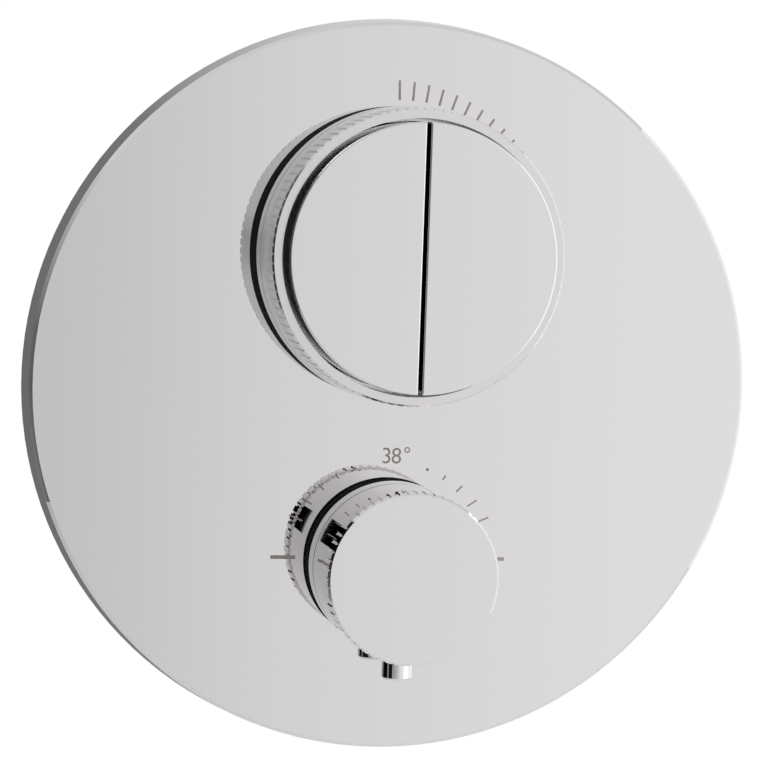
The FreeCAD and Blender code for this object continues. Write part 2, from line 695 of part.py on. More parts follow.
def flow_discs(side, x):
    """A turning and a fixed ceramic disc, each with a pair of kidney-like ports."""
    port = ("disc_port_offset", "", "disc_port_radius")
    mirror = ("-disc_port_offset", "", "disc_port_radius")
    for name, rear, front in (("flow_disc_", "disc_joint_out", "disc_front_out"),
                              ("seat_disc_", "seat_disc_rear_out", "disc_joint_out")):
        body = turned(name + side, [
            ("rod_bore_radius", rear), ("disc_radius", rear), ("disc_radius", front), ("rod_bore_radius", front),
        ], x=x, z="ring_rise")
        drill(body, name + side + "_ports", rear, "sizes.disc_thickness + 0.5", [port, mirror])


def push_cartridge(side, x):
    """Brass cartridge screwed into the body; its floor is the seat that the rod's stopper shuts."""
    name = "push_cartridge_" + side
    body = turned(name, [
        ("seat_hole_radius", "cartridge_rear_out"), ("cartridge_radius", "cartridge_rear_out"),
        ("cartridge_radius", "tower_front_out"), ("stem_bore_radius", "tower_front_out"),
        ("stem_bore_radius", "cartridge_head_out"), ("cartridge_bore_radius", "cartridge_head_out"),
        ("cartridge_bore_radius", "seat_disc_rear_out"), ("seat_ledge_radius", "seat_disc_rear_out"),
        ("seat_ledge_radius", "cartridge_seat_out"), ("seat_hole_radius", "cartridge_seat_out"),
    ], x=x, z="ring_rise")
    slot = sketch_on(body, "XZ_Plane", name + "_windows")
    closed_outline(slot, [("-window_half", "window_rear_out"), ("window_half", "window_rear_out"),
                          ("window_half", "window_front_out"), ("-window_half", "window_front_out")])
    cut = body.newObject("PartDesign::Pocket", name + "_window_cut")
    cut.Profile = slot
    cut.Midplane = True
    cut.setExpression("Length", "2 * sizes.cartridge_radius + 2")


def push_rod(side, x):
    turned("push_rod_" + side, [
        ("", "stopper_rear_out"), ("rod_radius", "stopper_rear_out"),
        ("rod_radius", "button_inside_out"), ("", "button_inside_out"),
    ], x=x, z="ring_rise")
    turned("outlet_stopper_" + side, [
        ("rod_radius", "stopper_rear_out"), ("stopper_radius", "stopper_rear_out"),
        ("stopper_radius", "cartridge_rear_out"), ("rod_radius", "cartridge_rear_out"),
    ], x=x, z="ring_rise")


def push_button(side, sign, offset):
    """A half-moon cap: a shell with a flat face, a rounded front edge and a hub on the push rod."""
    name = "button_" + side
    body = new_body(name)
    sketch = flat_sketch(body, name + "_outline", "button_rear_out")
    half_moon(sketch, "button_radius", "button_half_split", sign)
    block = extruded(body, sketch, "sizes.button_depth")
    inner = flat_sketch(body, name + "_hollow", "button_rear_out")
    half_moon(inner, "button_inner_radius", "button_inner_split", sign)
    hollow = extruded(body, inner, "sizes.button_depth - sizes.button_face", "PartDesign::Pocket")
    hub = flat_sketch(body, name + "_hub", "button_hub_out")
    circle_at(hub, offset, "", "button_hub_radius")
    extruded(body, hub, "sizes.button_hub_length + 0.5 * sizes.button_face")
    bore = flat_sketch(body, name + "_bore", "button_hub_out")
    circle_at(bore, offset, "", "rod_radius")
    extruded(body, bore, "sizes.button_hub_length", "PartDesign::Pocket")
    doc.recompute()
    soften_front(body, "button_front_out", "button_edge")
    set_place(body, z="ring_rise")


def half_moon(sketch, radius, split, sign):
    """A circle's half beyond a chord, with the chord a named distance from the axis."""
    size, chord = val(radius), sign * val(split)
    rise = math.sqrt(size * size - chord * chord)
    first, last = FreeCAD.Vector(chord, -sign * rise, 0), FreeCAD.Vector(chord, sign * rise, 0)
    outer = FreeCAD.Vector(sign * size, 0, 0)
    line = sketch.addGeometry(Part.LineSegment(last, first), False)
    arc = sketch.addGeometry(Part.Arc(first, outer, last), False)
    sketch.addConstraint(Sketcher.Constraint("Coincident", line, 2, arc, 1))
    sketch.addConstraint(Sketcher.Constraint("Coincident", line, 1, arc, 2))
    sketch.addConstraint(Sketcher.Constraint("Coincident", arc, 3, -1, 1))
    index = sketch.addConstraint(Sketcher.Constraint("Radius", arc, size))
    sketch.setExpression(f"Constraints[{index}]", f"sizes.{radius}")
    index = sketch.addConstraint(Sketcher.Constraint("DistanceX", -1, 1, line, 1, chord))
    sketch.setExpression(f"Constraints[{index}]", size_formula(split if sign > 0 else "-" + split))
    sketch.addConstraint(Sketcher.Constraint("Vertical", line))


def soften_front(body, front, radius):
    """Round the edges of the front face."""
    tip = body.Tip
    names = []
    for index, edge in enumerate(tip.Shape.Edges, start=1):
        box = edge.BoundBox
        if abs(box.ZMin - val(front)) < 1e-4 and abs(box.ZMax - val(front)) < 1e-4:
            names.append(f"Edge{index}")
    fillet = body.newObject("PartDesign::Fillet", "soft_edge_" + body.Name)
    fillet.Base = (tip, names)
    fillet.setExpression("Radius", f"sizes.{radius}")
    body.Tip = fillet


def button_guide():
    """Fixed disc under the buttons: two bosses guide the rods, two posts stand on the base."""
    body = turned("button_guide", [
        ("", "guide_rear_out"), ("guide_radius", "guide_rear_out"),
        ("guide_radius", "guide_front_out"), ("", "guide_front_out"),
    ], z="ring_rise")
    bosses = flat_sketch(body, "guide_bosses", "guide_front_out")
    for x in ("pinion_offset", "-pinion_offset"):
        circle_at(bosses, x, "", "guide_boss_radius")
    extruded(body, bosses, "sizes.guide_boss_height")
    posts = flat_sketch(body, "guide_posts", "base_front_out")
    for z in ("guide_post_offset", "-guide_post_offset"):
        circle_at(posts, "", z, "guide_post_radius")
    extruded(body, posts, "sizes.guide_rear_out - sizes.base_front_out + 0.5 * sizes.guide_thickness")
    drill(body, "guide_bores", "base_front_out", "sizes.guide_front_out - sizes.base_front_out + 10", [
        ("pinion_offset", "", "rod_guide_radius"), ("-pinion_offset", "", "rod_guide_radius"),
        ("", "guide_post_offset", "guide_screw_radius"), ("", "-guide_post_offset", "guide_screw_radius"),
    ])


def helix_point(radius, climb, turn):
    return FreeCAD.Vector(radius * math.cos(2 * math.pi * turn), radius * math.sin(2 * math.pi * turn), climb * turn)


def helix_way(radius, climb, turn):
    """The direction that the wire runs in, as a unit vector."""
    sweep = 2 * math.pi * radius
    way = FreeCAD.Vector(-sweep * math.sin(2 * math.pi * turn), sweep * math.cos(2 * math.pi * turn), climb)
    return way.normalize()


def arc_under(start, corner, end):
    """The arc from start to end that touches the two lines to the corner."""
    middle = (start + end) / 2
    half, rise = (end - start).Length / 2, corner - middle
    lean = math.atan2(rise.Length, half)
    return Part.Arc(start, middle + rise.normalize() * (half * math.tan(lean / 2)), end).toShape()


def coil(radius, wire, turns, start, end, x, z):
    """A compression spring: one unbroken wire, each half turn two arcs that meet without a kink."""
    climb = (end - start - 2 * wire) / turns
    arcs = []
    for i in range(int(2 * turns)):
        first, last = helix_point(radius, climb, i / 2), helix_point(radius, climb, (i + 1) / 2)
        leave, arrive = helix_way(radius, climb, i / 2), helix_way(radius, climb, (i + 1) / 2)
        chord, bend = last - first, 2 * (1 - leave.dot(arrive))
        along = chord.dot(leave + arrive)
        reach = (math.sqrt(along ** 2 + bend * chord.dot(chord)) - along) / bend
        corners = first + leave * reach, last - arrive * reach
        join = (corners[0] + corners[1]) / 2
        arcs += [arc_under(first, corners[0], join), arc_under(join, corners[1], last)]
    way, out = helix_way(radius, climb, 0), FreeCAD.Vector(1, 0, 0)
    across = way.cross(out)
    rim = [FreeCAD.Vector(radius, 0, 0) + out * (wire * math.cos(math.pi * (k + 0.5) / 4))
           + across * (wire * math.sin(math.pi * (k + 0.5) / 4)) for k in range(8)]
    spring = Part.Wire(arcs).makePipeShell([Part.makePolygon(rim + [rim[0]])], True, False)
    spring.Placement = FreeCAD.Placement(FreeCAD.Vector(x, -(start + wire), z), FRONT)
    return spring


def button_spring(side, x):
    item = doc.addObject("Part::Feature", "button_spring_" + side)
    item.Label = "button_spring_" + side
    item.Shape = coil(val("spring_radius"), val("spring_wire_radius"), val("spring_turns"),
                      val("guide_front_out"), val("button_inside_out"), x * val("pinion_offset"), val("ring_rise"))


def guide_screws():
    shapes = []
    for sign in (1, -1):
        z = val("ring_rise") + sign * val("guide_post_offset")
        length = val("guide_front_out") - val("tower_front_out")
        shapes.append(headed_screw(val("guide_screw_radius"), length, 2 * val("guide_screw_radius"), 1.6,
                                   val("tower_front_out"), 0, z))
    group("guide_screws", shapes)


def mechanism_base():
    """Disc that shuts the mixed-water pool and carries the sleeve, the guide and the pinion stems."""
    body = turned("mechanism_base", [
        ("", "tower_front_out"), ("base_radius", "tower_front_out"),
        ("base_radius", "base_front_out"), ("", "base_front_out"),
    ], z="ring_rise")
    drill(body, "base_bores", "tower_front_out", "sizes.base_thickness + 0.5", [
        ("pinion_offset", "", "stem_bore_radius"), ("-pinion_offset", "", "stem_bore_radius"),
        ("", "guide_post_offset", "guide_screw_radius"), ("", "-guide_post_offset", "guide_screw_radius"),
    ])
    drill(body, "base_screw_holes", "tower_front_out", "sizes.base_thickness + 0.5",
          [("base_screw_offset", "base_screw_offset", "guide_screw_radius")], "base_screw_count")


def base_screws():
    """Flush screws that hold the base on the tower's rim."""
    shapes = []
    offset, radius = val("base_screw_offset"), val("guide_screw_radius")
    for x in (-offset, offset):
        for z in (-offset, offset):
            shapes.append(rod_shape(radius, val("tower_front_out") - 8, val("base_front_out"), x, val("ring_rise") + z))
    group("base_screws", shapes)


# ---------------------------------------------------------------- temperature knob
def knob_seal():
    turned("knob_seal", [
        ("knob_tube_radius", "plate_depth"), ("knob_seal_radius", "plate_depth"),
        ("knob_seal_radius", "knob_sleeve_rear_out"), ("knob_tube_radius", "knob_sleeve_rear_out"),
    ], z="knob_level")


def knob_sleeve():
    turned("knob_sleeve", [
        ("knob_sleeve_bore", "knob_tower_out"), ("knob_tube_radius", "knob_tower_out"),
        ("knob_tube_radius", "knob_sleeve_rear_out"), ("knob_sleeve_radius", "knob_sleeve_rear_out"),
        ("knob_sleeve_radius", "knob_sleeve_front_out"), ("knob_sleeve_bore", "knob_sleeve_front_out"),
    ], z="knob_level")


def knob_shell():
    body = turned("knob_shell", [
        ("knob_bore_radius", "knob_skirt_out"), ("knob_skirt_radius", "knob_skirt_out"),
        ("knob_skirt_radius", "knob_rear_out"), ("knob_barrel_radius", "knob_rear_out"),
        ("knob_barrel_radius", "knob_knurl_out"), ("knob_knurl_radius", "knob_knurl_out"),
        ("knob_knurl_radius", "knob_edge_out"), ("knob_face_radius", "knob_front_out"),
        ("", "knob_front_out"), ("", "knob_inside_out"), ("knob_bore_radius", "knob_inside_out"),
    ], z="knob_level")
    knurled(body, "knob", "knob_knurl_out", "knob_knurl_radius")
    lever_hole(body, "knob_lever_hole")


def lever_hole(body, name):
    """Hole square to the axis, downwards, for the lever's threaded stem."""
    sketch = sketch_on(body, "XZ_Plane", name)
    circle_at(sketch, "", "lever_out", "lever_stem_radius")
    extruded(body, sketch, "sizes.lever_reach", "PartDesign::Pocket")
    seat = sketch_on(body, "XZ_Plane", name + "_seat")
    seat.setExpression("AttachmentOffset.Base.z", "sizes.lever_shoulder")
    circle_at(seat, "", "lever_out", "lever_radius")
    extruded(body, seat, "sizes.lever_reach", "PartDesign::Pocket")


def pin_lever():
    """Round pin that stands out of the knob downwards, with a smaller stem into the adapter."""
    body = new_body("pin_lever")
    sketch = sketch_on(body, "XZ_Plane", "profile_pin_lever")
    closed_outline(sketch, [
        ("", "lever_root"), ("lever_stem_radius", "lever_root"), ("lever_stem_radius", "lever_shoulder"),
        ("lever_radius", "lever_shoulder"), ("lever_radius", "lever_chamfer_start"),
        ("lever_end_radius", "lever_reach"), ("", "lever_reach"),
    ])
    lathe = body.newObject("PartDesign::Revolution", "turning_pin_lever")
    lathe.Profile = sketch
    lathe.ReferenceAxis = (sketch, ["V_Axis"])
    lathe.Angle = 360
    body.Placement = FreeCAD.Placement(FreeCAD.Vector(0, -val("lever_out"), val("knob_level")),
                                       FreeCAD.Rotation(FreeCAD.Vector(1, 0, 0), 180))
    body.setExpression(".Placement.Base.y", "-sizes.lever_out")
    body.setExpression(".Placement.Base.z", "sizes.knob_level")


def lug(height, length, bore, radius, start, end):
    """A raised sector between two angles, added to a turned piece."""
    inner, outer = val(bore), val(radius)
    def at(size, angle):
        return FreeCAD.Vector(size * math.cos(math.radians(angle)), size * math.sin(math.radians(angle)), 0)
    middle = (start + end) / 2
    edges = [Part.Arc(at(outer, start), at(outer, middle), at(outer, end)).toShape(),
             Part.makeLine(at(outer, end), at(inner, end)),
             Part.Arc(at(inner, end), at(inner, middle), at(inner, start)).toShape(),
             Part.makeLine(at(inner, start), at(outer, start))]
    sector = Part.Face(Part.Wire(edges)).extrude(FreeCAD.Vector(0, 0, length))
    sector.Placement = FreeCAD.Placement(FreeCAD.Vector(0, -height, val("knob_level")), FRONT)
    return sector


def stop_ring():
    """Fixed ring on the cartridge's neck; its long lug ends the knob's turn on both sides."""
    disc = rod_shape(val("stop_radius"), val("stop_rear_out"), val("stop_front_out"), 0, val("knob_level"))
    bore = rod_shape(val("stop_bore_radius"), val("stop_rear_out") - 1, val("stop_front_out") + 1, 0,
                     val("knob_level"))
    reach = 180 - val("knob_turn_limit") - val("moving_lug_half_angle") - 1
    stop = lug(val("stop_front_out"), val("stop_lug_height"), "stop_lug_bore",
               "stop_lug_radius", 90 - reach, 90 + reach)
    item = doc.addObject("Part::Feature", "stop_ring")
    item.Label = "stop_ring"
    item.Shape = disc.cut(bore).fuse(stop).removeSplitter()


def knob_adapter():
    """Splined plug that joins the knob to the cartridge's spindle and carries the moving lug."""
    level, rear, front = val("knob_level"), val("adapter_rear_out"), val("adapter_front_out")
    plug = rod_shape(val("adapter_radius"), rear, front, 0, level)
    half = val("moving_lug_half_angle")
    dog = lug(val("stop_front_out") + val("seat_gap"), val("stop_lug_height"), "stop_lug_bore",
              "stop_lug_radius", 270 - half, 270 + half)
    plug = plug.fuse(dog)
    plug = plug.cut(rod_shape(val("spindle_radius"), rear - 1, val("adapter_bore_out"), 0, level))
    stem = Part.makeCylinder(val("lever_stem_radius"), val("lever_reach"))
    stem.Placement = FreeCAD.Placement(
        FreeCAD.Vector(0, -val("lever_out"), level - val("lever_root")),
        FreeCAD.Rotation(FreeCAD.Vector(1, 0, 0), 180))
    item = doc.addObject("Part::Feature", "knob_adapter")
    item.Label = "knob_adapter"
    item.Shape = plug.cut(stem).removeSplitter()


# ---------------------------------------------------------------- thermostatic cartridge
def cartridge_nut():
    turned("cartridge_nut", [
        ("nut_bore_radius", "nut_rear_out"), ("nut_radius", "nut_rear_out"),
        ("nut_radius", "nut_front_out"), ("nut_bore_radius", "nut_front_out"),
    ], z="knob_level")


def cartridge_housing():
    body = turned("cartridge_housing", [
        ("housing_outlet_radius", "housing_rear_out"), ("housing_radius", "housing_rear_out"),
        ("housing_radius", "housing_flange_out"), ("housing_flange_radius", "housing_flange_out"),
        ("housing_flange_radius", "nut_rear_out"), ("neck_radius", "nut_rear_out"),
        ("neck_radius", "neck_front_out"), ("spindle_bore_radius", "neck_front_out"),
        ("spindle_bore_radius", "housing_top_out"), ("housing_bore_radius", "housing_top_out"),
        ("housing_bore_radius", "housing_floor_out"), ("housing_outlet_radius", "housing_floor_out"),
    ], z="knob_level")
    for name, height in (("hot_windows", "hot_out"), ("cold_windows", "cold_out")):
        sketch = sketch_on(body, "XZ_Plane", name)
        circle_at(sketch, "", height, "window_radius")
        cut = body.newObject("PartDesign::Pocket", name + "_cut")
        cut.Profile = sketch
        cut.Midplane = True
        cut.setExpression("Length", "2 * sizes.housing_radius + 2")
        side = sketch_on(body, "YZ_Plane", name + "_side")
        circle_at(side, "", height, "window_radius")
        cross = body.newObject("PartDesign::Pocket", name + "_side_cut")
        cross.Profile = side
        cross.Midplane = True
        cross.setExpression("Length", "2 * sizes.housing_radius + 2")
    for name in ("groove_front", "groove_middle", "groove_rear"):
        sketch = sketch_on(body, "XZ_Plane", name)
        closed_outline(sketch, [
            ("groove_floor_radius", name + "_low"), ("groove_mouth_radius", name + "_low"),
            ("groove_mouth_radius", name + "_high"), ("groove_floor_radius", name + "_high"),
        ])
        groove = body.newObject("PartDesign::Groove", name + "_cut")
        groove.Profile = sketch
        groove.ReferenceAxis = (sketch, ["V_Axis"])
        groove.Angle = 360


def cartridge_orings():
    """Three ring seals; their eight-sided section stands for a round one."""
    radius, middle = val("oring_radius"), val("chamber_radius") - val("oring_radius")
    shapes = []
    for name in ("groove_front_out", "port_out", "groove_rear_out"):
        rim = [FreeCAD.Vector(middle + radius * math.cos(math.pi * k / 4), 0, radius * math.sin(math.pi * k / 4))
               for k in range(8)]
        ring = Part.Face(Part.makePolygon(rim + [rim[0]])).revolve(FreeCAD.Vector(), FreeCAD.Vector(0, 0, 1), 360)
        ring.Placement = FreeCAD.Placement(FreeCAD.Vector(0, -val(name), val("knob_level")), FRONT)
        shapes.append(ring)
    group("cartridge_orings", shapes)


def thermostat_spindle():
    turned("thermostat_spindle", [
        ("", "spindle_end_out"), ("spindle_thread_radius", "spindle_end_out"),
        ("spindle_thread_radius", "spindle_thread_out"), ("spindle_collar_radius", "spindle_thread_out"),
        ("spindle_collar_radius", "spindle_collar_out"), ("spindle_radius", "spindle_collar_out"),
        ("spindle_radius", "spindle_front_out"), ("", "spindle_front_out"),
    ], z="knob_level")


def overload_nut():
    turned("overload_nut", [
        ("", "overload_nut_rear_out"), ("overload_nut_radius", "overload_nut_rear_out"),
        ("overload_nut_radius", "overload_nut_front_out"), ("thread_bore_radius", "overload_nut_front_out"),
        ("thread_bore_radius", "overload_nut_floor_out"), ("", "overload_nut_floor_out"),
    ], z="knob_level")


def wax_element():
    turned("wax_element", [
        ("", "wax_rear_out"), ("wax_radius", "wax_rear_out"), ("wax_radius", "wax_collar_out"),
        ("wax_collar_radius", "wax_collar_out"), ("wax_collar_radius", "wax_cup_out"),
        ("wax_piston_radius", "wax_cup_out"), ("wax_piston_radius", "wax_front_out"), ("", "wax_front_out"),
    ], z="knob_level")


def shuttle():
    body = turned("shuttle", [
        ("shuttle_bore_radius", "shuttle_rear_out"), ("shuttle_radius", "shuttle_rear_out"),
        ("shuttle_radius", "shuttle_front_out"), ("shuttle_bore_radius", "shuttle_front_out"),
    ], z="knob_level")
    drill(body, "shuttle_ports", "shuttle_rear_out", "sizes.shuttle_length + 0.5",
          [("shuttle_port_offset", "", "shuttle_port_radius")], "shuttle_port_count")


def return_spring():
    item = doc.addObject("Part::Feature", "return_spring")
    item.Label = "return_spring"
    item.Shape = coil(val("return_spring_radius"), val("return_spring_wire"), val("return_spring_turns"),
                      val("housing_floor_out"), val("shuttle_rear_out"), 0, val("knob_level"))


# ---------------------------------------------------------------- brass body, ports and bracket
def pipe_x(radius, start, end, out, z):
    pipe = Part.makeCylinder(radius, end - start)
    pipe.Placement = FreeCAD.Placement(FreeCAD.Vector(start, -out, z), SIDE)
    return pipe


def hexagon_x(radius, start, end, out, z):
    corners = [FreeCAD.Vector(start, -out + radius * math.cos(math.radians(a)), z + radius * math.sin(math.radians(a)))
               for a in range(0, 361, 60)]
    return Part.Face(Part.makePolygon(corners)).extrude(FreeCAD.Vector(end - start, 0, 0))


def valve_body():
    """Cast body: the control tower with its pool, two barrels, the thermostat's tower, the ports."""
    rise, level, port = val("ring_rise"), val("knob_level"), val("port_out")
    span, offset = val("port_span"), val("pinion_offset")
    front, floor, rear = val("tower_front_out"), val("pool_floor_out"), val("body_rear_out")
    solid = rod_shape(val("tower_radius"), floor - val("tower_floor"), front, 0, rise)
    solids = [rod_shape(val("knob_tower_radius"), rear, val("knob_tower_out"), 0, level)]
    for x in (-offset, offset):
        solids.append(rod_shape(val("barrel_radius"), val("barrel_rear_out"), floor, x, rise))
    for z in (rise, level):
        solids.append(pipe_x(val("pipe_radius"), -span, span, port, z))
        for start in (-span, span - val("port_length")):
            solids.append(hexagon_x(val("port_hex_radius"), start, start + val("port_length"), port, z))
    gallery = val("gallery_level")
    solids.append(rod_shape(val("gallery_boss_radius"), rear, floor, 0, gallery))
    half = val("spine_half_width")
    spine = Part.makeBox(2 * half, val("spine_front_out") - rear, rise - level)
    spine.Placement = FreeCAD.Placement(FreeCAD.Vector(-half, -val("spine_front_out"), level), UP)
    solids.append(spine)
    solid = solid.multiFuse(solids)
    cuts = [rod_shape(val("pool_radius"), floor, front + 1, 0, rise),
            rod_shape(val("gallery_radius"), val("gallery_floor_out"), floor + 1, 0, gallery),
            rod_shape(val("chamber_radius"), val("chamber_rear_out"), front, 0, level),
            rod_shape(val("sump_radius"), val("gallery_floor_out"), val("chamber_rear_out") + 1, 0, level),
            rod_shape(val("nut_radius"), val("housing_flange_out"), val("knob_tower_out") + 1, 0, level)]
    top = gallery + val("gallery_boss_radius")
    passage = Part.makeCylinder(val("passage_radius"), top + 1 - level)
    passage.Placement = FreeCAD.Placement(FreeCAD.Vector(0, -val("passage_out"), level), UP)
    cuts.append(passage)
    for sign in (-1, 1):
        x = sign * offset
        cuts.append(rod_shape(val("cartridge_radius"), val("cartridge_rear_out"), floor + 1, x, rise))
        cuts.append(rod_shape(val("cartridge_bore_radius"), port - val("outlet_bore_radius") - 1,
                              val("cartridge_rear_out"), x, rise))
        low, high = sorted((x, sign * (span + 1)))
        cuts.append(pipe_x(val("outlet_bore_radius"), low, high, port, rise))
        low, high = sorted((sign * (span - val("thread_length")), sign * (span + 1)))
        cuts.append(pipe_x(val("thread_radius"), low, high, port, rise))
        cuts.append(pipe_x(val("thread_radius"), low, high, port, level))
        inner = span - val("thread_length") - val("inlet_bore_length")
        low, high = sorted((sign * inner, sign * span))
        cuts.append(pipe_x(val("inlet_bore_radius"), low, high, port, level))
        low, high = sorted((sign * val("housing_bore_radius"), sign * span))
        cuts.append(pipe_x(val("window_radius"), low, high, val("hot_out") if sign < 0 else val("cold_out"), level))
    for x in (-val("base_screw_offset"), val("base_screw_offset")):
        for z in (-val("base_screw_offset"), val("base_screw_offset")):
            cuts.append(rod_shape(val("guide_screw_radius"), front - val("base_screw_hole_depth"), front + 1, x, rise + z))
    for x, z in body_screw_places():
        cuts.append(rod_shape(val("body_screw_radius"), rear - 1, rear + val("body_screw_length"), x, z))
    item = doc.addObject("Part::Feature", "valve_body")
    item.Label = "valve_body"
    item.Shape = solid.cut(cuts).removeSplitter()


def body_screw_places():
    """The four bracket screws stand either side of the water passage in the spine."""
    across, up = val("body_screw_span_across") / 2, val("body_screw_span_up") / 2
    return [(x, z) for x in (-across, across) for z in (-up, up)]


def gallery_plug():
    """Brass plug in the drilled mouth of the gallery passage."""
    top = val("gallery_level") + val("gallery_boss_radius")
    stem = Part.makeCylinder(val("passage_radius"), val("plug_length"))
    stem.Placement = FreeCAD.Placement(FreeCAD.Vector(0, -val("passage_out"), top - val("plug_length")), UP)
    item = doc.addObject("Part::Feature", "gallery_plug")
    item.Label = "gallery_plug"
    item.Shape = stem


def inlet_fittings(side, sign):
    """Non-return valve and strainer that sit behind the inlet's thread."""
    span, level, port = val("port_span"), val("knob_level"), val("port_out")
    mouth = span - val("thread_length")
    deep = mouth - val("inlet_bore_length")
    strainer_start = mouth - 3
    low, high = sorted((sign * deep, sign * strainer_start))
    shell = pipe_x(val("inlet_bore_radius"), low, high, port, level)
    shell = shell.cut(pipe_x(val("inlet_bore_radius") - 2.4, low - 1, high + 1, port, level))
    middle = sign * (deep + strainer_start) / 2
    shell = shell.fuse(pipe_x(val("inlet_bore_radius") - 2.4, middle - 1, middle + 1, port, level)
                       .cut(pipe_x(2.2, middle - 2, middle + 2, port, level)))
    item = doc.addObject("Part::Feature", "check_valve_" + side)
    item.Label = "check_valve_" + side
    item.Shape = shell.removeSplitter()
    low, high = sorted((sign * strainer_start, sign * mouth))
    mesh = pipe_x(val("inlet_bore_radius"), low, high, port, level)
    mesh = mesh.cut(pipe_x(val("inlet_bore_radius") - 1, low - 1, high + 1, port, level)
                    .cut(pipe_x(val("inlet_bore_radius"), min(sign * strainer_start, sign * (strainer_start + 1)),
                                max(sign * strainer_start, sign * (strainer_start + 1)), port, level)))
    item = doc.addObject("Part::Feature", "strainer_" + side)
    item.Label = "strainer_" + side
    item.Shape = mesh.removeSplitter()


def mounting_bracket():
    width, height, gauge = val("bracket_width"), val("bracket_height"), val("bracket_sheet")
    rear, level = val("bracket_rear_out"), val("bracket_level")
    sheet_metal = Part.makeBox(width, gauge, height)
    sheet_metal.Placement = FreeCAD.Placement(
        FreeCAD.Vector(-width / 2, -val("bracket_front_out"), level - height / 2), UP)
    cuts = []
    for x in (-val("bracket_hole_span_across") / 2, val("bracket_hole_span_across") / 2):
        for z in (-val("bracket_hole_span_up") / 2, val("bracket_hole_span_up") / 2):
            cuts.append(rod_shape(val("bracket_hole_radius"), rear - 1, rear + gauge + 1, x, level + z))
    for x, z in body_screw_places():
        cuts.append(rod_shape(val("body_screw_radius"), rear - 1, rear + gauge + 1, x, z))
    item = doc.addObject("Part::Feature", "mounting_bracket")
    item.Label = "mounting_bracket"
    item.Shape = sheet_metal.cut(cuts)


def bracket_screws():
    shapes = []
    tip = val("body_rear_out") + val("body_screw_length")
    length = val("body_screw_length") + val("bracket_sheet")
    for x, z in body_screw_places():
        shapes.append(headed_screw(val("body_screw_radius"), length, val("body_screw_head_radius"),
                                   val("body_screw_head"), tip, x, z, inward=True))
    group("bracket_screws", shapes)


def build():
    fill_sheet()
    face_plate()
    plate_gasket()
    plate_carrier()
    plate_grommets()
    carrier_fixings()
    ring_seal()
    ring_sleeve()
    flow_ring()
    ring_gear()
    ring_gear_screws()
    for side, sign, offset in (("left", -1, "-pinion_offset"), ("right", 1, "pinion_offset")):
        flow_pinion(side, offset)
        flow_discs(side, offset)
        push_cartridge(side, offset)
        push_rod(side, offset)
        push_button(side, sign, offset)
        button_spring(side, sign)
    button_guide()
    guide_screws()
    mechanism_base()
    base_screws()
    knob_seal()
    knob_sleeve()
    knob_shell()
    pin_lever()
    stop_ring()
    knob_adapter()
    cartridge_nut()
    cartridge_housing()
    cartridge_orings()
    thermostat_spindle()
    overload_nut()
    wax_element()
    shuttle()
    return_spring()
    valve_body()
    gallery_plug()
    for side, sign in (("hot", -1), ("cold", 1)):
        inlet_fittings(side, sign)
    mounting_bracket()
    bracket_screws()
    doc.recompute()


def sub_parts():
    kept = []
    for item in doc.Objects:
        if item.TypeId == "PartDesign::Body" or item.TypeId == "Part::Feature":
            kept.append(item)
    return kept


def check_and_write():
    for item in doc.Objects:
        if "Invalid" in item.State or "Error" in item.State:
            raise RuntimeError(f"{item.Name} is {item.State}")
    os.makedirs("parts", exist_ok=True)
    for item in sub_parts():
        shape = item.Shape
        if shape.isNull() or not shape.isValid() or not shape.Solids:
            raise RuntimeError(f"{item.Label} has no valid shape")
        shape.exportStep(f"parts/{item.Label}.step")
        print(f"{item.Label:24s} {len(shape.Solids)} solids {shape.Volume:10.1f} mm3")


build()
check_and_write()
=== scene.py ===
# %% [markdown]
# # A thermostatic shower valve, dressed for its studio picture
# The CAD model gives every piece its shape and place. This script gives the pieces their
# finishes, prints the two scales on the face plate, and sets up the studio, floor, lights and
# camera.
# Nearly everything in sight is polished chrome, and chrome has no colour of its own: what it
# shows is the room. So most of the work is in what stands around the valve.

import json
import math

import bpy
from mathutils import Matrix, Vector


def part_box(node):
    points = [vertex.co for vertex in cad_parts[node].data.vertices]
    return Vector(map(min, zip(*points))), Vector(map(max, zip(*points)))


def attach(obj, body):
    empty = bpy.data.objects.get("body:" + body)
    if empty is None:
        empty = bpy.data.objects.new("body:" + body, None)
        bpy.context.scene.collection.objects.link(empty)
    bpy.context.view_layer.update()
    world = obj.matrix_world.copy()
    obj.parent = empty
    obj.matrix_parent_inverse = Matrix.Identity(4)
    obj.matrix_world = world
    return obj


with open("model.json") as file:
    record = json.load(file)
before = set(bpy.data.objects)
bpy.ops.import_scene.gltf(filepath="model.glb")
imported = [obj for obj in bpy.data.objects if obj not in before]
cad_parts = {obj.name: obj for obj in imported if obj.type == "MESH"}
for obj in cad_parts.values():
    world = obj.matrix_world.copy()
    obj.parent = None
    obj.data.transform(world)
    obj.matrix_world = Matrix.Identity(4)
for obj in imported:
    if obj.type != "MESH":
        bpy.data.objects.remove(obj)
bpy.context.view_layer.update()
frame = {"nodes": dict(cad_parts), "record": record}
plate_low, plate_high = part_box("face_plate")
ring_low, ring_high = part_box("flow_ring")
knob_low, knob_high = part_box("knob_shell")
PLATE_FRONT = plate_low[1]
RING_RISE = (ring_low[2] + ring_high[2]) / 2
KNOB_RISE = (knob_low[2] + knob_high[2]) / 2
print("nodes", len(frame["nodes"]), "plate front", round(PLATE_FRONT, 5),
      "ring axis", round(RING_RISE, 5), "knob axis", round(KNOB_RISE, 5))

# %% [markdown]
# ## The scene's basic settings
# The standard view transform shows a colour about as it is written. Filmic transforms would
# grey the white studio.

# %% View settings
scene = bpy.context.scene
scene.view_settings.view_transform = "Standard"
print("view transform", scene.view_settings.view_transform)


